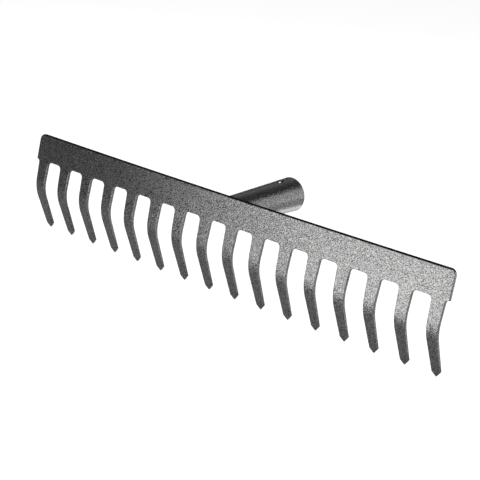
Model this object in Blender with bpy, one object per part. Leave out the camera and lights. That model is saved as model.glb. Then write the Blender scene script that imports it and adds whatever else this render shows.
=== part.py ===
"""Head of a garden rake: a comb pressed from one sheet of steel, with a rolled handle socket
welded to its back.

Run it with blender --background --python part.py, or from the text editor.
Named lengths are in millimetres, the scene is in metres.
+X runs along the comb, +Y along the socket towards the handle, +Z is up, and the tine points
stand on z = 0.
"""
import math

import bmesh
import bpy
from mathutils import Matrix, Vector

MM = 0.001

# Comb blank
TINES = 16
PITCH = 26.0
SHEET = 2.6
WEB_HEIGHT = 21.5
WEB_OVERHANG = 3.0
WEB_CORNER_RADIUS = 4.8
TINE_ROOT_WIDTH = 10.5
TINE_END_WIDTH = 6.7
TINE_TIP_WIDTH = 0.8
SLOT_FILLET = 3.3
END_FILLET = 2.6

# Comb as pressed: its ends stand a little higher than its middle, and each tine has a straight
# run, a bend towards the handle, and a straight run to the point
COMB_CROWN = 1.0
TINE_STRAIGHT = 15.3
BEND_OUTER_RADIUS = 30.3
BEND_ANGLE = math.radians(32.7)
TINE_LOWER = 26.6
TINE_POINT = 3.7

# Socket, measured along its axis from the back of the comb
HANDLE_ANGLE = math.radians(10.9)
SOCKET_LENGTH = 82.0
SOCKET_ROOT_RADIUS = 11.1
SOCKET_MOUTH_RADIUS = 13.7
SOCKET_WALL = 1.6
SOCKET_ABOVE_SLOTS = 6.8
RIM_ROUND = 0.4
NECK_OPENING_LENGTH = 24.0
NECK_OPENING_HALF_WIDTH = 9.6
SEAM_WIDTH = 0.6
SCREW_HOLE_FROM_MOUTH = 15.0
SCREW_HOLE_RADIUS = 2.4

# Weld between the socket and the comb
WELD_LEG = 2.5
WELD_CROWN = 0.35
WELD_LOWEST = math.radians(-24.0)

# Fineness and fits
FIT_GAP = 0.3
EDGE_ROUND = 0.35
FILLET_STEPS = 6
BEND_STEPS = 10
SOCKET_SIDES = 64
WELD_STEPS = 44
CUTTER_REACH = 40.0

PAINT_COLOUR = (0.15, 0.15, 0.155, 1.0)
WELD_COLOUR = (0.12, 0.12, 0.125, 1.0)


def clear_scene():
    """Removes every object of the open file."""
    for thing in list(bpy.data.objects):
        bpy.data.objects.remove(thing, do_unlink=True)


def make_material(name, colour, roughness, metallic):
    """Returns a Principled material of one finish."""
    material = bpy.data.materials.new(name)
    material.use_nodes = True
    shader = material.node_tree.nodes["Principled BSDF"]
    shader.inputs["Base Color"].default_value = colour
    shader.inputs["Roughness"].default_value = roughness
    shader.inputs["Metallic"].default_value = metallic
    return material


def add_object(name, mesh, parent, material=None):
    """Links a new object that holds the mesh under its parent."""
    thing = bpy.data.objects.new(name, mesh)
    bpy.context.scene.collection.objects.link(thing)
    thing.parent = parent
    if material is not None:
        mesh.materials.append(material)
    return thing


def mesh_from(build, name):
    """Makes a mesh of a closed bmesh, with its faces turned outwards."""
    bmesh.ops.recalc_face_normals(build, faces=build.faces)
    mesh = bpy.data.meshes.new(name)
    build.to_mesh(mesh)
    build.free()
    return mesh


def shade_round(mesh, sharp_degrees=35.0):
    """Shades a mesh smooth, apart from its sharp edges."""
    mesh.shade_smooth()
    mesh.set_sharp_from_angle(angle=math.radians(sharp_degrees))


def cut_away(thing, cutter):
    """Takes the cutter's volume from an object with an exact Boolean."""
    cutter.hide_render = True
    cutter.display_type = "WIRE"
    modifier = thing.modifiers.new(cutter.name, "BOOLEAN")
    modifier.operation = "DIFFERENCE"
    modifier.solver = "EXACT"
    modifier.object = cutter


def comb_half_length():
    """Half the length of the comb along X."""
    return (TINES - 1) / 2 * PITCH + TINE_ROOT_WIDTH / 2 + WEB_OVERHANG


def tine_half_width(run):
    """Half the width of a tine at a distance down it from the slot tops.

    It is even beside the fillet, and from there tapers to the shoulders.
    """
    taper_length = TINE_STRAIGHT + BEND_OUTER_RADIUS * BEND_ANGLE + TINE_LOWER - SLOT_FILLET
    share = max(run - SLOT_FILLET, 0.0) / taper_length
    return (TINE_ROOT_WIDTH + (TINE_END_WIDTH - TINE_ROOT_WIDTH) * share) / 2


def tine_stations():
    """Distances down a tine at which its blank is divided: the fillet, the bend and the ends."""
    bend_length = BEND_OUTER_RADIUS * BEND_ANGLE
    stations = [SLOT_FILLET, TINE_STRAIGHT]
    stations += [TINE_STRAIGHT + bend_length * step / BEND_STEPS for step in range(1, BEND_STEPS + 1)]
    stations.append(stations[-1] + TINE_LOWER)
    return stations


def press_point(x, run):
    """Place on the front face of the pressed comb of a point of its flat blank.

    The run is measured down from the slot tops, and is negative in the web. The crown lifts a point
    by the square of its distance from the comb's middle.
    """
    bend_length = BEND_OUTER_RADIUS * BEND_ANGLE
    angle = min(max(run - TINE_STRAIGHT, 0.0), bend_length) / BEND_OUTER_RADIUS
    beyond = max(run - TINE_STRAIGHT - bend_length, 0.0)
    straight = min(run, TINE_STRAIGHT)
    back = BEND_OUTER_RADIUS * (1 - math.cos(angle)) + beyond * math.sin(angle)
    down = straight + BEND_OUTER_RADIUS * math.sin(angle) + beyond * math.cos(angle)
    lift = COMB_CROWN * (x / comb_half_length()) ** 2
    return Vector((x, back - SHEET, lift - SOCKET_ABOVE_SLOTS - down)) * MM


def slot_fillet(edge, radius, outwards):
    """Blank points of a fillet between a tine's edge and the slot top, from the tine upwards."""
    points = []
    for step in range(FILLET_STEPS + 1):
        angle = math.pi / 2 * step / FILLET_STEPS
        x = edge + outwards * radius * (1 - math.cos(angle))
        points.append((x, radius - radius * math.sin(angle)))
    return points


def web_side(middle, outwards, is_end):
    """Blank points of one side of a tine's piece of web, from the tine's root to the top edge."""
    radius = END_FILLET if is_end else SLOT_FILLET
    edge = middle + outwards * tine_half_width(0.0)
    root = (middle + outwards * tine_half_width(SLOT_FILLET), SLOT_FILLET)
    points = [root] + slot_fillet(edge, radius, outwards)
    if not is_end:
        border = middle + outwards * PITCH / 2
        return points + [(border, 0.0), (border, -WEB_HEIGHT)]
    border = edge + outwards * WEB_OVERHANG
    points.append((border, 0.0))
    for step in range(FILLET_STEPS + 1):
        angle = math.pi / 2 * step / FILLET_STEPS
        x = border - outwards * WEB_CORNER_RADIUS * (1 - math.cos(angle))
        points.append((x, WEB_CORNER_RADIUS * (1 - math.sin(angle)) - WEB_HEIGHT))
    return points


def add_blank_face(build, points):
    """Adds a face of the blank to the pressed front face."""
    corners = [build.verts.new(press_point(x, run)) for x, run in points]
    build.faces.new(corners)


def make_comb(parent, material):
    """Cuts, presses and thickens the comb: the web and its tines are one sheet."""
    build = bmesh.new()
    stations = tine_stations()
    for index in range(TINES):
        middle = (index - (TINES - 1) / 2) * PITCH
        left = web_side(middle, -1, index == 0)
        right = web_side(middle, 1, index == TINES - 1)
        add_blank_face(build, right + left[::-1])
        for upper, lower in zip(stations, stations[1:]):
            wide, narrow = tine_half_width(upper), tine_half_width(lower)
            corners = [(middle - wide, upper), (middle - narrow, lower)]
            corners += [(middle + narrow, lower), (middle + wide, upper)]
            add_blank_face(build, corners)
        shoulder, tip = tine_half_width(stations[-1]), TINE_TIP_WIDTH / 2
        corners = [(middle - shoulder, stations[-1]), (middle - tip, stations[-1] + TINE_POINT)]
        corners += [(middle + tip, stations[-1] + TINE_POINT), (middle + shoulder, stations[-1])]
        add_blank_face(build, corners)
    bmesh.ops.remove_doubles(build, verts=build.verts, dist=0.01 * MM)
    for face in build.faces:
        if face.normal.y > 0:
            face.normal_flip()
    mesh = bpy.data.meshes.new("comb")
    build.to_mesh(mesh)
    build.free()
    comb = add_object("comb", mesh, parent, material)
    comb.rotation_euler.x = -HANDLE_ANGLE
    sheet = comb.modifiers.new("sheet", "SOLIDIFY")
    sheet.thickness = SHEET * MM
    sheet.offset = -1.0
    sheet.use_even_offset = True
    edges = comb.modifiers.new("sheared edges", "BEVEL")
    edges.width = EDGE_ROUND * MM
    edges.segments = 2
    edges.limit_method = "ANGLE"
    edges.angle_limit = math.radians(50.0)
    edges.use_clamp_overlap = False
    shade_round(mesh)
    return comb


def socket_radius(along):
    """Outer radius of the socket at a distance from the comb."""
    share = along / SOCKET_LENGTH
    return SOCKET_ROOT_RADIUS + (SOCKET_MOUTH_RADIUS - SOCKET_ROOT_RADIUS) * share


def make_socket(parent, material):
    """Turns the tapered tube, then trims its neck, parts its seam and bores the screw hole."""
    start = -SOCKET_ROOT_RADIUS
    inner_start = socket_radius(start) - SOCKET_WALL
    inner_end = SOCKET_MOUTH_RADIUS - SOCKET_WALL
    profile = [
        (socket_radius(start), start),
        (SOCKET_MOUTH_RADIUS, SOCKET_LENGTH - RIM_ROUND),
        (SOCKET_MOUTH_RADIUS - RIM_ROUND, SOCKET_LENGTH),
        (inner_end + RIM_ROUND, SOCKET_LENGTH),
        (inner_end, SOCKET_LENGTH - RIM_ROUND),
        (inner_start, start),
    ]
    build = bmesh.new()
    ring = [build.verts.new(Vector((radius, along, 0.0)) * MM) for radius, along in profile]
    outline = [build.edges.new((ring[k], ring[(k + 1) % len(ring)])) for k in range(len(ring))]
    bmesh.ops.spin(
        build,
        geom=ring + outline,
        cent=(0.0, 0.0, 0.0),
        axis=(0.0, 1.0, 0.0),
        angle=math.tau,
        steps=SOCKET_SIDES,
        use_merge=True,
    )
    bmesh.ops.remove_doubles(build, verts=build.verts, dist=0.001 * MM)
    mesh = mesh_from(build, "socket")
    shade_round(mesh)
    socket = add_object("socket", mesh, parent, material)
    cut_away(socket, make_comb_cutter(parent))
    cut_away(socket, make_neck_cutter(parent))
    cut_away(socket, make_hole_cutter(parent))
    return socket


def make_comb_cutter(parent):
    """Block whose face stands a fit gap behind the comb, to trim the socket against it."""
    build = bmesh.new()
    bmesh.ops.create_cube(build, size=1.0)
    size = Vector((2 * CUTTER_REACH, CUTTER_REACH, 2 * CUTTER_REACH)) * MM
    bmesh.ops.transform(build, matrix=Matrix.Diagonal(size).to_4x4(), verts=build.verts)
    shift = Vector((0.0, FIT_GAP - CUTTER_REACH / 2, 0.0)) * MM
    bmesh.ops.translate(build, vec=shift, verts=build.verts)
    cutter = add_object("comb_cutter", mesh_from(build, "comb_cutter"), parent)
    cutter.rotation_euler.x = -HANDLE_ANGLE
    return cutter


def make_neck_cutter(parent):
    """Wedge and slit under the socket, between the edges of its rolled blank.

    The edges part towards the comb, so that the neck clears the slots, and run on to the mouth as
    the seam.
    """
    build = bmesh.new()
    beyond = NECK_OPENING_LENGTH / 2
    base_half = NECK_OPENING_HALF_WIDTH * (1 + beyond / NECK_OPENING_LENGTH)
    seam_half = SEAM_WIDTH / 2
    seam_start = NECK_OPENING_LENGTH * (1 - seam_half / NECK_OPENING_HALF_WIDTH)
    right = [(base_half, -beyond), (seam_half, seam_start), (seam_half, SOCKET_LENGTH + beyond)]
    corners = right + [(-x, y) for x, y in reversed(right)]
    floor = [build.verts.new(Vector((x, y, -CUTTER_REACH)) * MM) for x, y in corners]
    face = build.faces.new(floor)
    raised = bmesh.ops.extrude_face_region(build, geom=[face])["geom"]
    tops = [item for item in raised if isinstance(item, bmesh.types.BMVert)]
    bmesh.ops.translate(build, vec=Vector((0.0, 0.0, CUTTER_REACH)) * MM, verts=tops)
    return add_object("neck_cutter", mesh_from(build, "neck_cutter"), parent)


def make_hole_cutter(parent):
    """Drill for the screw that keeps the handle in the socket."""
    build = bmesh.new()
    bmesh.ops.create_cone(
        build,
        cap_ends=True,
        segments=24,
        radius1=SCREW_HOLE_RADIUS * MM,
        radius2=SCREW_HOLE_RADIUS * MM,
        depth=SOCKET_MOUTH_RADIUS * MM,
    )
    place = Vector((0.0, SOCKET_LENGTH - SCREW_HOLE_FROM_MOUTH, SOCKET_MOUTH_RADIUS)) * MM
    bmesh.ops.translate(build, vec=place, verts=build.verts)
    return add_object("hole_cutter", mesh_from(build, "hole_cutter"), parent)


def weld_section(angle):
    """Corners of the weld's cross-section at an angle round the socket, from +X towards +Z.

    The weld fills the corner between the comb's back and the socket, a fit gap from both.
    """
    slope = (SOCKET_MOUTH_RADIUS - SOCKET_ROOT_RADIUS) / SOCKET_LENGTH
    spoke = Vector((math.cos(angle), 0.0, math.sin(angle)))
    plate_normal = Vector((0.0, math.cos(HANDLE_ANGLE), -math.sin(HANDLE_ANGLE)))
    radius = SOCKET_ROOT_RADIUS / (1 - slope * spoke.z * math.tan(HANDLE_ANGLE))
    meeting = spoke * radius + Vector((0.0, radius * spoke.z * math.tan(HANDLE_ANGLE), 0.0))
    up_socket = (spoke * slope + Vector((0.0, 1.0, 0.0))).normalized()
    off_socket = (spoke - Vector((0.0, slope, 0.0))).normalized()
    along_plate = (spoke - plate_normal * spoke.dot(plate_normal)).normalized()
    corner = meeting + (plate_normal + off_socket) * FIT_GAP
    toe_plate = corner + along_plate * WELD_LEG
    toe_socket = corner + up_socket * WELD_LEG
    crown = (along_plate + up_socket).normalized() * WELD_CROWN
    shares = (0.25, 0.5, 0.75)
    swell = [toe_plate.lerp(toe_socket, share) + crown * math.sin(math.pi * share) for share in shares]
    return [corner, toe_plate] + swell + [toe_socket]


def make_weld(parent, material):
    """Carries the weld's section round the neck, from one side of its opening to the other."""
    build = bmesh.new()
    rings = []
    for step in range(WELD_STEPS + 1):
        angle = WELD_LOWEST + (math.pi - 2 * WELD_LOWEST) * step / WELD_STEPS
        rings.append([build.verts.new(corner * MM) for corner in weld_section(angle)])
    for ring, following in zip(rings, rings[1:]):
        for k in range(len(ring)):
            n = (k + 1) % len(ring)
            build.faces.new((ring[k], ring[n], following[n], following[k]))
    build.faces.new(rings[0][::-1])
    build.faces.new(rings[-1])
    mesh = mesh_from(build, "socket_weld")
    shade_round(mesh)
    return add_object("socket_weld", mesh, parent, material)


def stand_on_points(holder, pieces):
    """Moves the head so that its box is centred and its tine points stand on z = 0."""
    bpy.context.view_layer.update()
    view = bpy.context.evaluated_depsgraph_get()
    points = []
    for piece in pieces:
        shaped = piece.evaluated_get(view)
        points += [shaped.matrix_world @ vertex.co for vertex in shaped.data.vertices]
    lowest = min(point.z for point in points)
    front = min(point.y for point in points)
    back = max(point.y for point in points)
    holder.location = (0.0, -(front + back) / 2, -lowest)


def main():
    """Builds the rake head."""
    clear_scene()
    paint = make_material("hammered_paint", PAINT_COLOUR, 0.42, 0.35)
    socket_paint = make_material("socket_paint", PAINT_COLOUR, 0.38, 0.35)
    weld_paint = make_material("weld_paint", WELD_COLOUR, 0.5, 0.35)
    head = bpy.data.objects.new("rake_head", None)
    bpy.context.scene.collection.objects.link(head)
    pieces = [make_comb(head, paint), make_socket(head, socket_paint), make_weld(head, weld_paint)]
    stand_on_points(head, pieces)


main()
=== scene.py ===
"""Looks of a garden rake head in hammered grey paint.

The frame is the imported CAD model. Over it this script lays a finely rounded comb, a rolled socket
with its seam and screw hole, the raised lip of that hole, and a rippled weld. Then it sets a plain
studio and the camera. Lengths are in metres, +X along the comb, +Y along the socket, +Z up.
"""
import logging
import math
from dataclasses import dataclass

import bpy
import numpy as np
from mathutils import Matrix, Vector


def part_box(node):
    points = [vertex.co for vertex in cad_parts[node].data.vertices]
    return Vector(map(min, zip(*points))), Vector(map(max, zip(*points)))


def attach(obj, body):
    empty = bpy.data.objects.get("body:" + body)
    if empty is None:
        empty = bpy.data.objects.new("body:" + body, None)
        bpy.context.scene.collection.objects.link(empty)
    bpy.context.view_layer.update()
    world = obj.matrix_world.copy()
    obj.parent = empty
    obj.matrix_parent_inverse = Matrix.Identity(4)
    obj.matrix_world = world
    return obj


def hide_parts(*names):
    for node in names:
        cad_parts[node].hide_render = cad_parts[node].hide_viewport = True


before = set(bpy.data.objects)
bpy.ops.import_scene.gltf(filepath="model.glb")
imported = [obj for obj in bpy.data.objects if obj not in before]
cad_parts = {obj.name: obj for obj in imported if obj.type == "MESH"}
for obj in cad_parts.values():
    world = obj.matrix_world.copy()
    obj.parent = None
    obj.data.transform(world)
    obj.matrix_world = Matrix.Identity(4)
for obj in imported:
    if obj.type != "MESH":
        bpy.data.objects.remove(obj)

LOG = logging.getLogger("rake_head")
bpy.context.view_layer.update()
MM = 0.001
BODY = "root"
LEAN = math.radians(10.9)
UP_THE_COMB = (0.0, math.sin(LEAN), math.cos(LEAN))
CUT_EDGE = math.radians(50.0)
SAME_POINT = 0.001 * MM
PANEL_HEIGHT = 3.0 * MM
WHITE = (1.0, 1.0, 1.0, 1.0)
BLACK = (0.0, 0.0, 0.0, 1.0)

Colour = tuple[float, float, float]
Place = tuple[float, float, float]
NodeSocket = bpy.types.NodeSocket
NodeTree = bpy.types.NodeTree


def surface_object(name: str, points: np.ndarray, faces: np.ndarray) -> bpy.types.Object:
    """Puts whole arrays of points and faces into a new mesh object at the origin.

    Args:
        name: The piece's name.
        points: Places in metres, one row of three for each point.
        faces: Point numbers, one row of four for each face.

    Returns:
        The linked object, its doubled points merged.
    """
    mesh = bpy.data.meshes.new(name)
    mesh.from_pydata(points.tolist(), [], faces.tolist())
    mesh.validate()
    piece = bpy.data.objects.new(name, mesh)
    bpy.context.scene.collection.objects.link(piece)
    merge = piece.modifiers.new("merge", "WELD")
    merge.merge_threshold = 2 * SAME_POINT
    return piece


def grid_faces(rows: int, columns: int, start: int = 0) -> np.ndarray:
    """Point numbers of the squares of a grid that is stored row by row.

    Args:
        rows: Points down the grid.
        columns: Points across the grid.
        start: Number of the grid's first point.

    Returns:
        One row of four point numbers for each square.
    """
    first = start + (np.arange(rows - 1)[:, None] * columns + np.arange(columns - 1)).ravel()
    return np.stack([first, first + 1, first + columns + 1, first + columns], axis=1)


def open_edges(faces: np.ndarray, count: int) -> tuple[np.ndarray, np.ndarray]:
    """Edges that only one face has: no other face runs along them the other way.

    Args:
        faces: Point numbers, one row of four for each face.
        count: Number of points.

    Returns:
        The point at the start of each open edge, and the one at its end.
    """
    starts, ends = faces.ravel(), np.roll(faces, -1, axis=1).ravel()
    is_open = ~np.isin(ends * count + starts, starts * count + ends)
    return starts[is_open], ends[is_open]


def number(tree: NodeTree, operation: str, *values: NodeSocket | float) -> NodeSocket:
    """Works out a number from numbers.

    Args:
        tree: The material's nodes.
        operation: The Math node's operation.
        values: A socket or a number for each of its inputs.

    Returns:
        The result's socket.
    """
    node = tree.nodes.new("ShaderNodeMath")
    node.operation = operation
    for slot, value in zip(node.inputs, values):
        if isinstance(value, NodeSocket):
            tree.links.new(value, slot)
        else:
            slot.default_value = value
    return node.outputs["Value"]


def share_along(tree: NodeTree, vector: NodeSocket, direction: Place) -> NodeSocket:
    """Dot product of a vector and a fixed direction.

    Args:
        tree: The material's nodes.
        vector: The vector's socket.
        direction: The direction, whose length scales the result.

    Returns:
        The result's socket.
    """
    node = tree.nodes.new("ShaderNodeVectorMath")
    node.operation = "DOT_PRODUCT"
    node.inputs[1].default_value = direction
    tree.links.new(vector, node.inputs[0])
    return node.outputs["Value"]


def eased_step(tree: NodeTree, value: NodeSocket, low: float, high: float) -> NodeSocket:
    """0 where a value is under low, 1 where it is over high, and eased between.

    Args:
        tree: The material's nodes.
        value: The value's socket.
        low: Where the step starts.
        high: Where it ends.

    Returns:
        The result's socket.
    """
    step = tree.nodes.new("ShaderNodeMapRange")
    step.interpolation_type = "SMOOTHSTEP"
    step.inputs["From Min"].default_value = low
    step.inputs["From Max"].default_value = high
    tree.links.new(value, step.inputs["Value"])
    return step.outputs["Result"]


def span(tree: NodeTree, factor: NodeSocket, at_zero: float, at_one: float) -> NodeSocket:
    """A value that goes from at_zero to at_one with the factor.

    Args:
        tree: The material's nodes.
        factor: A value from 0 to 1.
        at_zero: Result at 0.
        at_one: Result at 1.

    Returns:
        The result's socket.
    """
    node = tree.nodes.new("ShaderNodeMapRange")
    node.inputs["To Min"].default_value = at_zero
    node.inputs["To Max"].default_value = at_one
    tree.links.new(factor, node.inputs["Value"])
    return node.outputs["Result"]


def blend(tree: NodeTree, factor: NodeSocket, first: Colour | NodeSocket,
          last: Colour | NodeSocket) -> NodeSocket:
    """Colour that goes from first to last with the factor.

    Args:
        tree: The material's nodes.
        factor: A value from 0 to 1.
        first: Colour at 0.
        last: Colour at 1.

    Returns:
        The colour's socket.
    """
    mix = tree.nodes.new("ShaderNodeMix")
    mix.data_type = "RGBA"
    tree.links.new(factor, mix.inputs[0])
    for slot, colour in ((mix.inputs[6], first), (mix.inputs[7], last)):
        if isinstance(colour, tuple):
            slot.default_value = (*colour, 1.0)
        else:
            tree.links.new(colour, slot)
    return mix.outputs[2]


@dataclass(frozen=True)
class PaintedDarkReflection:
    """Painted dark reflection in black on the faces that look along up, or on a band at the top and such
    faces near it.

    A face looks along up by its normal's share along up, less side_share times its share along X,
    and the black comes in from start to full. The band lies over band_low, a level along up that
    rises by band_curve times the square of x. With a band, the faces count only within its reach.
    """

    up: Place
    colour: Colour = (0.004, 0.004, 0.004)
    start: float = 0.05
    full: float = 0.2
    side_share: float = 0.7
    band_low: float | None = None
    band_soft: float = 0.25 * MM
    band_curve: float = 0.0
    reach: float = 5.0 * MM

    def mask(self, tree: NodeTree) -> NodeSocket:
        """1 where the painted dark reflection lies, and 0 elsewhere.

        Args:
            tree: The material's nodes.

        Returns:
            The mask's socket.
        """
        coordinates = tree.nodes.new("ShaderNodeTexCoord")
        normal = coordinates.outputs["Normal"]
        sideways = number(tree, "ABSOLUTE", share_along(tree, normal, (self.side_share, 0.0, 0.0)))
        facing = number(tree, "SUBTRACT", share_along(tree, normal, self.up), sideways)
        upward = eased_step(tree, facing, self.start, self.full)
        if self.band_low is None:
            return upward
        spot = coordinates.outputs["Object"]
        near_top = number(tree, "MULTIPLY", upward, self.above(tree, spot, self.band_low - self.reach))
        return number(tree, "MAXIMUM", near_top, self.above(tree, spot, self.band_low))

    def above(self, tree: NodeTree, spot: NodeSocket, low: float) -> NodeSocket:
        """1 above a level along up, which rises with the square of x.

        Args:
            tree: The material's nodes.
            spot: The object's coordinates.
            low: The level at x = 0.

        Returns:
            The socket of the result.
        """
        x = share_along(tree, spot, (1.0, 0.0, 0.0))
        square = number(tree, "MULTIPLY", x, x)
        level = number(tree, "MULTIPLY_ADD", square, -self.band_curve, share_along(tree, spot, self.up))
        return eased_step(tree, level, low, low + self.band_soft)


@dataclass(frozen=True)
class HammeredPaint:
    """Metallic paint that dries in fine swells: light flakes on the rises, dark gloss in the pits.

    The grain is the size of one swell. Up to pit_level of the skin's height all is pit, and from
    ground_level up all is ground.
    """

    name: str
    ground: Colour = (0.112, 0.112, 0.111)
    pit: Colour = (0.027, 0.027, 0.0268)
    ground_roughness: float = 0.36
    pit_roughness: float = 0.11
    grain: float = 0.7 * MM
    relief: float = 0.24 * MM
    pit_level: float = 0.3
    ground_level: float = 0.7
    rim_tint: float = 0.7
    painted_dark_reflection: PaintedDarkReflection | None = None

    def build(self) -> bpy.types.Material:
        """Makes the material: pits for colour, gloss and relief, and the painted dark reflection where it has
        one.

        Returns:
            The material.
        """
        material = bpy.data.materials.new(self.name)
        material.use_nodes = True
        tree = material.node_tree
        shader = tree.nodes["Principled BSDF"]
        shader.inputs["Metallic"].default_value = 1.0
        shader.inputs["Specular IOR Level"].default_value = 0.0
        shader.inputs["Specular Tint"].default_value = (self.rim_tint, self.rim_tint, self.rim_tint, 1.0)
        height = self.skin(tree)
        bump = tree.nodes.new("ShaderNodeBump")
        bump.inputs["Distance"].default_value = self.relief
        tree.links.new(height, bump.inputs["Height"])
        tree.links.new(bump.outputs["Normal"], shader.inputs["Normal"])
        pattern = eased_step(tree, height, self.pit_level, self.ground_level)
        roughness = span(tree, pattern, self.pit_roughness, self.ground_roughness)
        tree.links.new(roughness, shader.inputs["Roughness"])
        colour = blend(tree, pattern, self.pit, self.ground)
        # Painted dark reflection: black colour and no metal where the mask is set.
        if self.painted_dark_reflection is not None:
            mask = self.painted_dark_reflection.mask(tree)
            colour = blend(tree, mask, colour, self.painted_dark_reflection.colour)
            tree.links.new(span(tree, mask, 1.0, 0.0), shader.inputs["Metallic"])
        tree.links.new(colour, shader.inputs["Base Color"])
        return material

    def skin(self, tree: NodeTree) -> NodeSocket:
        """Rolling height of the skin, a noise with one swell in every grain.

        Args:
            tree: The material's nodes.

        Returns:
            The height's socket, low in a pit and high on a swell.
        """
        coordinates = tree.nodes.new("ShaderNodeTexCoord")
        swells = tree.nodes.new("ShaderNodeTexNoise")
        swells.inputs["Scale"].default_value = 1.0 / self.grain
        swells.inputs["Detail"].default_value = 0.0
        tree.links.new(coordinates.outputs["Object"], swells.inputs["Vector"])
        return swells.outputs["Fac"]


@dataclass
class Comb:
    """Web and tines of one pressed sheet, in the sizes of the CAD node.

    The pivot is where the socket's axis meets the back of the comb, above the slot tops. Of the
    other fields, the sizes and the rounding of the cut edges come first, and then the counts of the
    points and rows that the grids are made of.
    """

    pivot: Vector
    tines: int = 16
    pitch: float = 26.0 * MM
    sheet: float = 2.6 * MM
    web_height: float = 21.5 * MM
    overhang: float = 3.0 * MM
    corner: float = 4.8 * MM
    corner_lead: float = 1.5 * MM
    root_width: float = 10.5 * MM
    end_width: float = 6.7 * MM
    tip_width: float = 0.8 * MM
    fillet: float = 3.3 * MM
    end_fillet: float = 2.6 * MM
    end_flat: float = 0.15 * MM
    straight: float = 15.3 * MM
    bend_radius: float = 30.3 * MM
    bend_angle: float = math.radians(32.7)
    lower: float = 26.6 * MM
    point: float = 3.7 * MM
    crown: float = 1.0 * MM
    # Width of the painted dark reflection along the top edge.
    dark_reflection_width: float = 1.15 * MM
    above_slots: float = 6.8 * MM
    front_round: float = 0.4 * MM
    back_round: float = 0.25 * MM
    round_steps: int = 5
    smooth_to: float = math.radians(35.0)
    fillet_points: int = 11
    slot_points: int = 4
    end_points: int = 10
    corner_points: int = 9
    across_points: int = 9
    web_rows: int = 7
    straight_rows: int = 6
    bend_rows: int = 25
    lower_rows: int = 8
    point_rows: int = 4

    def half_length(self) -> float:
        """Half the length of the comb."""
        return (self.tines - 1) / 2 * self.pitch + self.root_width / 2 + self.overhang

    def tine_middle(self, index: int) -> float:
        """Where a tine's middle line stands along the comb."""
        return (index - (self.tines - 1) / 2) * self.pitch

    def bend_length(self) -> float:
        """Length of a tine's bend along the front face."""
        return self.bend_radius * self.bend_angle

    def shoulder_run(self) -> float:
        """Distance from the slot tops to the shoulders of the points, along the front face."""
        return self.straight + self.bend_length() + self.lower

    def painted_dark_reflection(self) -> PaintedDarkReflection:
        """Painted dark reflection along the top edge, a black line whose lower border rises with the crown's
        height in Z.

        Returns:
            The painted dark reflection, its band set from the pivot and the comb's own sizes.
        """
        top = self.pivot.dot(Vector(UP_THE_COMB)) + self.web_height - self.above_slots
        curve = self.crown * math.cos(LEAN) / self.half_length() ** 2
        return PaintedDarkReflection(UP_THE_COMB, band_low=top - self.dark_reflection_width, band_curve=curve)

    def press(self, flat: np.ndarray, depth: float) -> np.ndarray:
        """Bends flat blank points into the pressed comb.

        A point at distance run below the slot tops goes straight down to the bend, then round an
        arc of the bend's radius, then straight on at the bend's angle. It then moves square into the
        sheet by the depth. The crown lifts it by the square of its distance from the middle. The
        whole comb leans back from square to the socket.

        Args:
            flat: Points (x, run), one row each.
            depth: Distance behind the front face.

        Returns:
            Places in metres, one row of three each.
        """
        x, run = flat[:, 0], flat[:, 1]
        bend = self.bend_length()
        angle = np.clip(run - self.straight, 0.0, bend) / self.bend_radius
        beyond = np.maximum(run - self.straight - bend, 0.0)
        back = self.bend_radius * (1 - np.cos(angle)) + beyond * np.sin(angle) - self.sheet
        down = np.minimum(run, self.straight) + self.bend_radius * np.sin(angle) + beyond * np.cos(angle)
        back = back + depth * np.cos(angle)
        up = self.crown * (x / self.half_length()) ** 2 - self.above_slots - down + depth * np.sin(angle)
        lean_y = back * math.cos(LEAN) + up * math.sin(LEAN)
        lean_z = up * math.cos(LEAN) - back * math.sin(LEAN)
        return np.stack([x + self.pivot.x, lean_y + self.pivot.y, lean_z + self.pivot.z], axis=1)

    def half_width(self, run: np.ndarray) -> np.ndarray:
        """Half the width of a tine: even beside the fillet, then a straight taper to the shoulders."""
        share = np.clip((run - self.fillet) / (self.shoulder_run() - self.fillet), 0.0, 1.0)
        return (self.root_width + (self.end_width - self.root_width) * share) / 2

    def slot_side(self, is_end: bool, inset: float) -> np.ndarray:
        """Lower outline of half a tine's web, from the tine's root outwards, for a tine at x = 0.

        An arc joins the tine's edge to the slot top, which runs on to half the pitch. On the outer
        side of an outer tine the arc stops end_flat short of the web's end, which makes a step.
        Drawn inwards, the arc keeps its centre and its radius grows by the inset.

        Args:
            is_end: Whether this is the outer side of an outer tine.
            inset: How far the outline is drawn inwards.

        Returns:
            Points (x, run).
        """
        radius = self.end_fillet if is_end else self.fillet
        edge = self.root_width / 2
        swept = radius + inset
        reach = edge + self.overhang - inset if is_end else self.pitch / 2
        short = (swept + self.end_flat - self.overhang) / swept if is_end else 0.0
        angle = np.linspace(0.0, math.acos(max(short, 0.0)), self.fillet_points)
        arc = np.stack([edge + radius - swept * np.cos(angle), radius - swept * np.sin(angle)], axis=1)
        line = np.linspace(arc[-1], [reach, -inset], self.end_points if is_end else self.slot_points)[1:]
        start = np.array([[edge - inset, self.fillet]])
        return np.concatenate([start, arc, line] if is_end else [arc, line])

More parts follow.
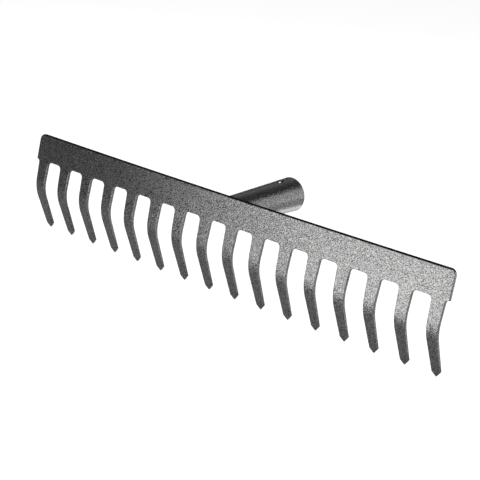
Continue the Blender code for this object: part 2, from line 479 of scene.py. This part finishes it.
    def top_side(self, lower: np.ndarray, is_end: bool, inset: float) -> np.ndarray:
        """Upper outline that stands over slot_side, point for point.

        At the web's end its last points go round the corner, a quarter circle, and those before
        them are spread over a short lead up to it.

        Args:
            lower: Points of slot_side.
            is_end: Whether this is the outer side of an outer tine.
            inset: How far the outline is drawn inwards.

        Returns:
            Points (x, run), which end in the rounded corner at the web's end.
        """
        height = self.web_height - inset
        top = np.stack([lower[:, 0], np.full(len(lower), -height)], axis=1)
        if not is_end:
            return top
        turns = self.corner_points
        angle = np.linspace(math.pi / 2, 0.0, turns)
        radius = self.corner - inset
        turn_start = self.root_width / 2 + self.overhang - self.corner
        top[:-turns, 0] = np.linspace(turn_start - self.corner_lead, turn_start, len(lower) - turns + 1)[:-1]
        top[-turns:, 0] = turn_start + radius * np.cos(angle)
        top[-turns:, 1] = radius * (1 - np.sin(angle)) - height
        return top

    def web(self, across: np.ndarray, inset: float) -> tuple[np.ndarray, int, int]:
        """Flat grid of the web: straight lines ruled from its lower outline to its top edge.

        Args:
            across: Places across a tine's root, from -1 to 1.
            inset: How far the outline is drawn inwards.

        Returns:
            The flat points, and the grid's rows and columns.
        """
        lowers, uppers = [], []
        mirror = np.array([-1.0, 1.0])
        half = self.root_width / 2 - inset
        for index in range(self.tines):
            middle = np.array([self.tine_middle(index), 0.0])
            left_end, right_end = index == 0, index == self.tines - 1
            left, right = self.slot_side(left_end, inset), self.slot_side(right_end, inset)
            left_top = self.top_side(left, left_end, inset)
            right_top = self.top_side(right, right_end, inset)
            root = np.stack([across * half, np.full(len(across), self.fillet)], axis=1)
            over = np.stack([root[:, 0], np.full(len(across), inset - self.web_height)], axis=1)
            over[:, 0] = np.interp(over[:, 0], root[[0, -1], 0], [-left_top[0, 0], right_top[0, 0]])
            lowers += [(left * mirror)[::-1] + middle, root[1:-1] + middle, right + middle]
            uppers += [(left_top * mirror)[::-1] + middle, over[1:-1] + middle, right_top + middle]
        lower, upper = np.concatenate(lowers), np.concatenate(uppers)
        share = np.linspace(0.0, 1.0, self.web_rows)[:, None, None]
        return (lower + (upper - lower) * share).reshape(-1, 2), self.web_rows, len(lower)

    def tine(self, middle: float, across: np.ndarray, inset: float) -> tuple[np.ndarray, int, int]:
        """Flat grid of one tine: even steps across its width, down to the blunt point.

        Args:
            middle: Where the tine's middle line stands along the comb.
            across: Places across the tine, from -1 to 1.
            inset: How far the outline is drawn inwards.

        Returns:
            The flat points, and the grid's rows and columns.
        """
        slant = math.atan2((self.end_width - self.tip_width) / 2, self.point)
        bend_end = self.straight + self.bend_length()
        shoulder = self.shoulder_run() - inset * math.tan(slant / 2)
        tip = self.shoulder_run() + self.point - inset
        runs = np.concatenate([
            np.linspace(self.fillet, self.straight, self.straight_rows),
            self.straight + np.linspace(0.0, self.bend_length(), self.bend_rows)[1:],
            np.linspace(bend_end, shoulder, self.lower_rows)[1:],
            np.linspace(shoulder, tip, self.point_rows)[1:],
        ])
        tip_half = self.tip_width / 2 - inset * (1 / math.cos(slant) - math.tan(slant))
        shoulder_half = self.end_width / 2 - inset
        pointed = np.interp(runs, [shoulder, tip], [shoulder_half, tip_half])
        half = np.where(runs > shoulder, pointed, self.half_width(runs) - inset)
        x = middle + half[:, None] * across
        flat = np.stack([x, np.broadcast_to(runs[:, None], x.shape)], axis=2).reshape(-1, 2)
        return flat, len(runs), len(across)

    def blank(self, inset: float) -> tuple[np.ndarray, np.ndarray]:
        """Flat grids of the whole blank, the same faces at every inset.

        Args:
            inset: How far the outline is drawn inwards.

        Returns:
            The flat points, and the faces with their fronts outwards.
        """
        across = np.linspace(-1.0, 1.0, self.across_points)
        flat, rows, columns = self.web(across, inset)
        points, faces, count = [flat], [grid_faces(rows, columns)], len(flat)
        for index in range(self.tines):
            flat, rows, columns = self.tine(self.tine_middle(index), across, inset)
            points.append(flat)
            faces.append(grid_faces(rows, columns, count)[:, ::-1])
            count += len(flat)
        return np.concatenate(points), np.concatenate(faces)

    def edge_rings(self) -> np.ndarray:
        """Insets and depths of the rings round the cut edge, two quarter rounds with a flat between.

        Returns:
            One row (inset, depth) for each ring, from the front face to the back.
        """
        turn = np.linspace(0.0, math.pi / 2, self.round_steps + 1)
        front = np.stack([1 - np.sin(turn), 1 - np.cos(turn)], axis=1) * self.front_round
        back = np.stack([1 - np.cos(turn), np.sin(turn) - 1], axis=1) * self.back_round
        return np.concatenate([front, back + [0.0, self.sheet]])

    def closed_sheet(self) -> tuple[np.ndarray, np.ndarray]:
        """Points and faces of the comb: front face, rings round its cut edge, and back face.

        Points that two grids share are merged once, on the plain outline, and the open edges found
        there carry the rings. The first and last rings are the borders of the two faces.

        Returns:
            The places in metres, and the faces.
        """
        flat, faces = self.blank(0.0)
        places = np.round(self.press(flat, 0.0) / SAME_POINT)
        _, kept, same = np.unique(places, axis=0, return_index=True, return_inverse=True)
        faces, count = same.ravel()[faces], len(kept)
        starts, ends = open_edges(faces, count)
        border = np.unique(starts)
        on_border = np.zeros(count, dtype=int)
        on_border[border] = np.arange(len(border))
        sheets = [self.press(self.blank(inset)[0][kept], depth) for inset, depth in self.edge_rings()]
        between = [sheet[border] for sheet in sheets[1:-1]]
        ring_starts = count + np.arange(len(between)) * len(border)
        back = count + len(between) * len(border) + np.arange(count)
        numbers = [np.arange(count), *(start + on_border for start in ring_starts), back]
        walls = [np.stack([low[ends], low[starts], high[starts], high[ends]], axis=1)
                 for low, high in zip(numbers, numbers[1:])]
        points = np.concatenate([sheets[0], *between, sheets[-1]])
        return points, np.concatenate([faces, *walls, back[faces[:, ::-1]]])

    def build(self, finish: bpy.types.Material) -> bpy.types.Object:
        """Makes the comb as one closed sheet, shaded evenly up to its cut edges.

        Args:
            finish: The paint.

        Returns:
            The piece.
        """
        piece = surface_object("comb_sheet", *self.closed_sheet())
        piece.data.shade_smooth()
        piece.data.set_sharp_from_angle(angle=self.smooth_to)
        even = piece.modifiers.new("even shading", "WEIGHTED_NORMAL")
        even.keep_sharp = True
        piece.data.materials.append(finish)
        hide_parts("comb")
        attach(piece, BODY)
        return piece


@dataclass
class Socket:
    """Tapered tube rolled from sheet, its seam underneath and a screw hole on top.

    The pivot is where the tube's axis meets the back of the comb.
    """

    pivot: Vector
    length: float = 82.0 * MM
    root_radius: float = 11.1 * MM
    mouth_radius: float = 13.7 * MM
    wall: float = 1.6 * MM
    neck_length: float = 24.0 * MM
    neck_half_width: float = 9.6 * MM
    seam_half_gap: float = 0.3 * MM
    hole_from_mouth: float = 15.0 * MM
    hole_radius: float = 2.4 * MM
    edge_round: float = 0.35 * MM
    edge_steps: int = 3
    trim: float = 0.06 * MM
    widest_neck: float = 0.95
    fitting_rounds: int = 4
    around_points: int = 121
    length_points: int = 101
    patch_reach: int = 4
    patch_rings: int = 5

    def radius(self, along: np.ndarray) -> np.ndarray:
        """Outer radius at distances from the comb, a straight taper."""
        return self.root_radius + (self.mouth_radius - self.root_radius) * along / self.length

    def hole_along(self) -> float:
        """Distance of the screw hole's middle from the comb."""
        return self.length - self.hole_from_mouth

    def place(self, angle: np.ndarray, along: np.ndarray, lift: np.ndarray | float = 0.0) -> np.ndarray:
        """Points over the outer cone.

        Args:
            angle: Angles round the axis, from +X towards +Z.
            along: Distances from the comb.
            lift: Heights over the cone.

        Returns:
            Places in metres, three numbers each.
        """
        reach = self.radius(along) + lift
        x = self.pivot.x + reach * np.cos(angle)
        z = self.pivot.z + reach * np.sin(angle)
        return np.stack([x, self.pivot.y + along, z], axis=-1)

    def rolled(self, share: np.ndarray, down: np.ndarray) -> tuple[np.ndarray, np.ndarray]:
        """Angle and distance of a point of the rolled blank.

        share runs round the tube from one edge of the seam to the other, and down from the comb to
        the mouth. The seam's edges are a small gap apart, and part towards the comb along a
        straight line, where half the gap is never more than widest_neck of the radius. The comb's
        leaning back trims the blank where the cone meets it. Angle and distance depend on each
        other, so both are worked out a few times over.

        Args:
            share: From 0 to 1 round the tube.
            down: From 0 to 1 along it.

        Returns:
            The angle and the distance.
        """
        along = down * self.length
        angle = -math.pi / 2 + share * math.tau
        for _ in range(self.fitting_rounds):
            parted = self.neck_half_width * (1 - along / self.neck_length)
            half_gap = np.sqrt(np.maximum(parted, 0.0) ** 2 + self.seam_half_gap ** 2)
            open_angle = np.arcsin(np.clip(half_gap / self.radius(along), 0.0, self.widest_neck))
            angle = -math.pi / 2 + open_angle + share * (math.tau - 2 * open_angle)
            root = self.root_radius * np.sin(angle) * math.tan(LEAN) + self.trim
            along = root + down * (self.length - self.trim - root)
        return angle, along

    def hole_rings(self, angle: np.ndarray, along: np.ndarray, row: int, column: int) -> np.ndarray:
        """Rings that go from a square of the tube's grid to the round edge of the screw hole.

        Laid flat, each point of the square goes straight towards the hole's middle, by even shares
        of its way to the circle.

        Args:
            angle: Angles of the tube's grid.
            along: Distances of the tube's grid from the comb.
            row: The grid's row at the hole's middle.
            column: The grid's column at the hole's middle.

        Returns:
            Places in metres, the rings in rows, each with its first point again at its end.
        """
        step = np.arange(-self.patch_reach, self.patch_reach)
        side = np.full(len(step), self.patch_reach)
        rows = np.concatenate([-side, step, side, -step]) + row
        columns = np.concatenate([step, side, -step, -side]) + column
        round_tube = (angle[rows, columns] - math.pi / 2) * self.radius(along[rows, columns])
        square = np.stack([round_tube, along[rows, columns] - self.hole_along()], axis=1)
        turn = np.arctan2(square[:, 1], square[:, 0])
        circle = np.stack([np.cos(turn), np.sin(turn)], axis=1) * self.hole_radius
        patch = square + (circle - square) * np.linspace(0.0, 1.0, self.patch_rings)[:, None, None]
        patch_along = patch[..., 1] + self.hole_along()
        rings = self.place(math.pi / 2 + patch[..., 0] / self.radius(patch_along), patch_along)
        return np.concatenate([rings, rings[:, :1]], axis=1)

    def give_wall(self, piece: bpy.types.Object) -> None:
        """Gives the tube's surface its wall inwards and rounds the cut edges.

        Args:
            piece: The surface, its faces outwards.
        """
        sheet = piece.modifiers.new("sheet", "SOLIDIFY")
        sheet.thickness = self.wall
        sheet.offset = -1.0
        sheet.use_even_offset = True
        bevel = piece.modifiers.new("round edges", "BEVEL")
        bevel.width = self.edge_round
        bevel.segments = self.edge_steps
        bevel.limit_method = "ANGLE"
        bevel.angle_limit = CUT_EDGE
        bevel.harden_normals = True
        piece.data.shade_smooth()

    def build(self, finish: bpy.types.Material) -> bpy.types.Object:
        """Makes the socket: a grid round the rolled blank, with rings fitted to its hole.

        Args:
            finish: The paint.

        Returns:
            The piece.
        """
        around, reach = self.around_points, self.patch_reach
        share, down = np.meshgrid(np.linspace(0, 1, around), np.linspace(0, 1, self.length_points))
        angle, along = self.rolled(share, down)
        middle = (around - 1) // 2
        row = int(np.argmin(np.abs(along[:, middle] - self.hole_along())))
        faces = grid_faces(self.length_points, around)
        first = faces[:, 0]
        in_row = np.abs(first // around - row + 0.5) < reach
        in_column = np.abs(first % around - middle + 0.5) < reach
        faces = faces[~(in_row & in_column)]
        points = self.place(angle, along).reshape(-1, 3)
        rings = self.hole_rings(angle, along, row, middle)
        patch_faces = grid_faces(*rings.shape[:2], start=len(points))
        points = np.concatenate([points, rings.reshape(-1, 3)])
        piece = surface_object("socket_tube", points, np.concatenate([faces, patch_faces])[:, ::-1])
        self.give_wall(piece)
        piece.data.materials.append(finish)
        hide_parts("socket")
        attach(piece, BODY)
        return piece


@dataclass
class HoleLip:
    """Low lip that the drill raised round the screw hole.

    Its section goes up the hole's wall, over a crest of a small radius and down a straight slope to
    its foot, just inside the tube's skin. Its hidden base is sunk deeper.
    """

    socket: Socket
    height: float = 0.55 * MM
    width: float = 0.95 * MM
    crest: float = 0.15 * MM
    crest_points: int = 6
    foot: float = -0.05 * MM
    base: float = -0.5 * MM
    in_hole: float = 0.02 * MM
    turns: int = 61

    def build(self, finish: bpy.types.Material) -> bpy.types.Object:
        """Carries the section round the hole, over the cone.

        Each point of the section goes round on a circle of the tube laid flat, and keeps its height
        over the cone.

        Args:
            finish: The paint.

        Returns:
            The piece.
        """
        bow = np.linspace(math.pi, math.pi / 3, self.crest_points)
        crest_reach, crest_lift = self.crest * (1 + np.cos(bow)), self.height + self.crest * (np.sin(bow) - 1)
        reach = np.concatenate([[0.0], crest_reach, [self.width, self.width, 0.0]])
        lift = np.concatenate([[self.base], crest_lift, [self.foot, self.base, self.base]])
        reach = reach + self.socket.hole_radius - self.in_hole
        turn = np.linspace(0.0, math.tau, self.turns)[:, None]
        along = self.socket.hole_along() + reach * np.sin(turn)
        angle = math.pi / 2 + reach * np.cos(turn) / self.socket.radius(along)
        points = self.socket.place(angle, along, lift).reshape(-1, 3)
        piece = surface_object("screw_hole_lip", points, grid_faces(self.turns, len(reach))[:, ::-1])
        piece.data.shade_smooth()
        piece.data.set_sharp_from_angle(angle=CUT_EDGE)
        piece.data.materials.append(finish)
        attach(piece, BODY)
        return piece


@dataclass(frozen=True)
class Wave:
    """Sine wave along the weld: its height, its angle over the whole length, and where it starts."""

    height: float
    angle: float
    start: float

    def at(self, travel: np.ndarray) -> np.ndarray:
        """Height at shares of the whole length."""
        return self.height * np.sin(travel * self.angle + self.start)


@dataclass
class Weld:
    """Bead in the corner between the socket and the comb's back, laid in overlapping ripples.

    It starts and ends at the lowest angle on either side. Each ripple rises by ripple at once, falls
    off by the power ripple_fall, and is bent by ripple_curve of its own length.
    """

    socket: Socket
    lowest: float = math.radians(-24.0)
    leg: float = 2.6 * MM
    fullness: float = 1.08
    overlap: float = 0.1 * MM
    ripple: float = 0.22 * MM
    ripples: int = 34
    ripple_curve: float = 0.8
    ripple_fall: float = 1.5
    end_share: float = 0.02
    wander: tuple[Wave, Wave] = (Wave(0.12 * MM, 23.0, 0.0), Wave(0.08 * MM, 57.0, 1.0))
    turns: int = 409
    sides: int = 25

    def corner(self, angle: np.ndarray) -> tuple[np.ndarray, np.ndarray, np.ndarray]:
        """The line where the cone meets the comb's back, and the ways out of that corner.

        At each angle the cone's straight line is followed to where it meets the leaning plane.

        Args:
            angle: Angles round the socket's axis, in a column.

        Returns:
            Points of the line from the pivot, and the directions from there outwards over the
            comb's back and along the cone.
        """
        slope = (self.socket.mouth_radius - self.socket.root_radius) / self.socket.length
        tilt = math.tan(LEAN)
        reach = self.socket.root_radius / (1 - slope * np.sin(angle) * tilt)
        spoke = np.stack([np.cos(angle), 0 * angle, np.sin(angle)], axis=-1)
        behind = np.stack([0 * angle, reach * np.sin(angle) * tilt, 0 * angle], axis=-1)
        along = np.array([0.0, 1.0, 0.0]) + spoke * slope
        along /= np.linalg.norm(along, axis=-1, keepdims=True)
        plate = np.array([0.0, math.cos(LEAN), -math.sin(LEAN)])
        outwards = spoke - plate * (spoke @ plate)[..., None]
        outwards /= np.linalg.norm(outwards, axis=-1, keepdims=True)
        return spoke * reach[..., None] + behind, outwards, along

    def build(self, finish: bpy.types.Material) -> bpy.types.Object:
        """Carries a rounded section round the neck; its size swells and sinks with each ripple.

        At each angle the section is a round bead in the corner of the comb and the cone. Its
        radius is half the leg and a small saw-tooth of the angle, delayed towards the edges of the
        bead, so that each ripple is a crescent. It shrinks to nothing at both ends.

        Args:
            finish: The paint.

        Returns:
            The piece.
        """
        angle = np.linspace(self.lowest, math.pi - self.lowest, self.turns)[:, None]
        side = np.linspace(0.0, math.tau, self.sides)[None, :]
        travel = (angle - self.lowest) / (math.pi - 2 * self.lowest)
        top = np.cos(side - math.pi / 4)
        phase = (travel * self.ripples - self.ripple_curve * top) % 1.0
        wave = (1 - phase) ** self.ripple_fall * self.ripple * np.clip(top, 0.0, 1.0)
        ends = np.sqrt(np.clip(np.minimum(travel, 1 - travel) / self.end_share, 0.0, 1.0))
        wander = self.wander[0].at(travel) + self.wander[1].at(travel)
        half = (self.leg / 2 * self.fullness + wave + wander) * ends
        meeting, outwards, along = self.corner(angle)
        middle = meeting + (outwards + along) * (self.leg / 2 - self.overlap)
        around = outwards * np.cos(side)[..., None] + along * np.sin(side)[..., None]
        place = (middle + around * half[..., None]).reshape(-1, 3) + np.array(self.socket.pivot)
        piece = surface_object("weld_bead", place, grid_faces(self.turns, self.sides))
        piece.data.shade_smooth()
        piece.data.materials.append(finish)
        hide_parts("socket_weld")
        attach(piece, BODY)
        return piece


@dataclass(frozen=True)
class Softbox:
    """Rectangular light that shines evenly, with a radiance of 1 for a surface that renders white."""

    name: str
    place: Place
    aim: Place
    size: tuple[float, float]
    radiance: float

    def build(self) -> None:
        """Adds the light, turned from its place towards its aim."""
        lamp = bpy.data.lights.new(self.name, "AREA")
        lamp.shape = "RECTANGLE"
        lamp.size, lamp.size_y = self.size
        lamp.energy = self.radiance * math.pi * self.size[0] * self.size[1]
        light = bpy.data.objects.new(self.name, lamp)
        light.location = self.place
        light.rotation_euler = (Vector(self.aim) - Vector(self.place)).to_track_quat("-Z", "Y").to_euler()
        light.visible_camera = False
        bpy.context.scene.collection.objects.link(light)


@dataclass(frozen=True)
class LightPanel:
    """Flat panel that is seen only in the metal, with a radiance of 1 for one that renders white."""

    name: str
    corners: tuple[Place, Place, Place, Place]
    radiance: float

    def build(self) -> None:
        """Adds the panel, which glows and throws neither light nor shadow on anything matt."""
        panel = surface_object(self.name, np.array(self.corners), np.array([[0, 1, 2, 3]]))
        material = bpy.data.materials.new(self.name)
        material.use_nodes = True
        shader = material.node_tree.nodes["Principled BSDF"]
        shader.inputs["Base Color"].default_value = BLACK
        shader.inputs["Specular IOR Level"].default_value = 0.0
        shader.inputs["Emission Color"].default_value = WHITE
        shader.inputs["Emission Strength"].default_value = self.radiance
        panel.data.materials.append(material)
        panel.visible_camera = False
        panel.visible_diffuse = False
        panel.visible_shadow = False


def lying_panel(name: str, x: tuple[float, float, float, float], y: tuple[float, float],
                radiance: float) -> LightPanel:
    """Light panel just over the floor.

    Args:
        name: The panel's name.
        x: Its corners in X, two at the first y and two at the last.
        y: Its two edges in Y.
        radiance: Its brightness.

    Returns:
        The panel.
    """
    corners = tuple((*spot, PANEL_HEIGHT) for spot in zip(x, (y[0], y[0], y[1], y[1])))
    return LightPanel(name, corners, radiance)


def upright_panel(name: str, start: tuple[float, float], end: tuple[float, float], z: tuple[float, float],
                  radiance: float) -> LightPanel:
    """Light panel that stands on a line over the floor.

    Args:
        name: The panel's name.
        start: Where the line starts, in X and Y.
        end: Where it ends.
        z: Heights of its lower and upper edge.
        radiance: Its brightness.

    Returns:
        The panel.
    """
    low, high = z
    return LightPanel(name, ((*start, low), (*end, low), (*end, high), (*start, high)), radiance)


@dataclass
class Studio:
    """Plain pale floor, even grey surroundings, soft lights and the camera.

    Its places and lengths are in metres, its angles in degrees, and lens and sensor in millimetres.
    """

    floor_half: float = 6.0
    floor_grey: float = 0.8
    floor_seen_grey: float = 0.35
    floor_glow: float = 0.8
    world_grey: float = 0.32
    camera_place: Place = (0.62577, -0.77575, 0.38014)
    camera_azimuth: float = 39.404
    camera_elevation: float = 19.02
    camera_roll: float = 4.518
    camera_near: float = 0.01
    lens: float = 102.296
    sensor: float = 36.0

    def build(self) -> None:
        """Sets the view, world, floor, lights and camera."""
        bpy.context.scene.view_settings.view_transform = "Standard"
        self.add_world()
        self.add_floor()
        for light in (*self.softboxes(), *self.panels()):
            light.build()
        self.add_camera()

    def softboxes(self) -> list[Softbox]:
        """The lights proper, which light the floor too.

        Returns:
            The lights, not yet built.
        """
        head = (0.0, 0.0, 0.06)
        return [
            Softbox("front", place=(0.012, -0.3, 0.09), aim=(0.012, 0.0, 0.09), size=(0.376, 0.18),
                    radiance=7.6),
            Softbox("back", place=(0.6, 0.75, 0.28), aim=head, size=(0.7, 0.7), radiance=2.5),
            Softbox("back_left", place=(-0.55, 0.82, 0.5), aim=head, size=(0.7, 0.7), radiance=0.28),
            Softbox("top", place=(0.0, 0.0, 1.8), aim=(0.0, 0.0, 0.0), size=(0.6, 0.6), radiance=12.0),
        ]

    def panels(self) -> list[LightPanel]:
        """What the metal mirrors: bright panels all round, and a dark one behind the socket.

        Returns:
            The panels, not yet built.
        """
        return [
            lying_panel("low_front", x=(0.01, 0.25, 0.25, -0.13), y=(-0.115, -0.3), radiance=7.6),
            lying_panel("low_back", x=(0.05, 0.29, 0.29, 0.05), y=(0.09, 0.7), radiance=2.0),
            lying_panel("low_end", x=(0.29, 0.7, 0.7, 0.29), y=(0.065, 0.7), radiance=5.5),
            lying_panel("low_side", x=(-0.1, 0.26, 0.26, -0.1), y=(-0.018, 0.045), radiance=2.6),
            lying_panel("streak", x=(0.002, 0.035, 0.035, 0.002), y=(0.05, 0.13), radiance=4.0),
            upright_panel("near_back", start=(0.0, 0.25), end=(0.225, 0.25), z=(0.02, 0.15), radiance=3.6),
            upright_panel("dark_back", start=(-0.2, 1.05), end=(-1.1, 0.45), z=(0.03, 0.4), radiance=0.05),
        ]

    def add_world(self) -> None:
        """Even grey surroundings."""
        world = bpy.data.worlds.new("studio")
        bpy.context.scene.world = world
        world.use_nodes = True
        light = world.node_tree.nodes["Background"]
        light.inputs["Color"].default_value = WHITE
        light.inputs["Strength"].default_value = self.world_grey

    def add_floor(self) -> None:
        """Pale floor that the tine points stand on, white where the camera and the metal see it."""
        half = self.floor_half
        corners = np.array([[-half, -half, 0.0], [half, -half, 0.0], [half, half, 0.0], [-half, half, 0.0]])
        floor = surface_object("floor", corners, np.array([[0, 1, 2, 3]]))
        material = bpy.data.materials.new("floor")
        material.use_nodes = True
        tree = material.node_tree
        shader = tree.nodes["Principled BSDF"]
        shader.inputs["Roughness"].default_value = 1.0
        shader.inputs["Specular IOR Level"].default_value = 0.0
        shader.inputs["Emission Color"].default_value = WHITE
        path = tree.nodes.new("ShaderNodeLightPath")
        seen = path.outputs["Is Camera Ray"]
        for ray in ("Is Glossy Ray", "Is Transmission Ray"):
            seen = number(tree, "MAXIMUM", seen, path.outputs[ray])
        grey = span(tree, seen, self.floor_grey, self.floor_seen_grey)
        tree.links.new(grey, shader.inputs["Base Color"])
        tree.links.new(span(tree, seen, 0.0, self.floor_glow), shader.inputs["Emission Strength"])
        floor.data.materials.append(material)

    def add_camera(self) -> None:
        """Camera at the photograph's angle, turned a little about its own axis."""
        lens = bpy.data.cameras.new("camera")
        lens.lens = self.lens
        lens.sensor_width = self.sensor
        lens.clip_start = self.camera_near
        camera = bpy.data.objects.new("camera", lens)
        turn = Matrix.Rotation(math.radians(self.camera_azimuth), 4, "Z")
        turn = turn @ Matrix.Rotation(math.radians(90.0 - self.camera_elevation), 4, "X")
        turn = turn @ Matrix.Rotation(math.radians(self.camera_roll), 4, "Z")
        camera.matrix_world = Matrix.Translation(self.camera_place) @ turn
        bpy.context.scene.collection.objects.link(camera)
        bpy.context.scene.camera = camera


def main() -> None:
    """Builds the rake head's pieces in order, logs their point counts, then builds the studio."""
    logging.basicConfig(level=logging.INFO, format="%(name)s: %(message)s")
    low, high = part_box("socket")
    pivot = Vector((0.0, high[1] - Socket.length, (low[2] + high[2]) / 2))
    comb, socket = Comb(pivot), Socket(pivot)
    # Painted dark reflection: black on the socket's faces that look along +Y, such as the rim of its mouth.
    mouth_dark_reflection = PaintedDarkReflection((0.0, 1.0, 0.0), start=0.3, full=0.5)
    # Painted dark reflection: black along the comb's top edge.
    comb_paint = HammeredPaint("hammered_paint_comb", painted_dark_reflection=comb.painted_dark_reflection())
    socket_paint = HammeredPaint("hammered_paint_socket", ground_roughness=0.24, pit_roughness=0.1,
                                 relief=0.14 * MM, rim_tint=1.0, painted_dark_reflection=mouth_dark_reflection)
    # Painted highlight: a lighter colour on the lip brightens the glint it catches from the top light.
    lip_highlight_paint = HammeredPaint("painted_highlight_lip", ground=(0.19, 0.19, 0.188), pit=(0.1, 0.1, 0.099),
                                 ground_roughness=0.2, pit_roughness=0.15, relief=0.04 * MM)
    weld_paint = HammeredPaint("hammered_paint_weld")
    pieces = [
        comb.build(comb_paint.build()),
        socket.build(socket_paint.build()),
        HoleLip(socket).build(lip_highlight_paint.build()),
        Weld(socket).build(weld_paint.build()),
    ]
    for piece in pieces:
        LOG.info("%s: %d points", piece.name, len(piece.data.vertices))
    Studio().build()


if __name__ == "__main__":
    main()
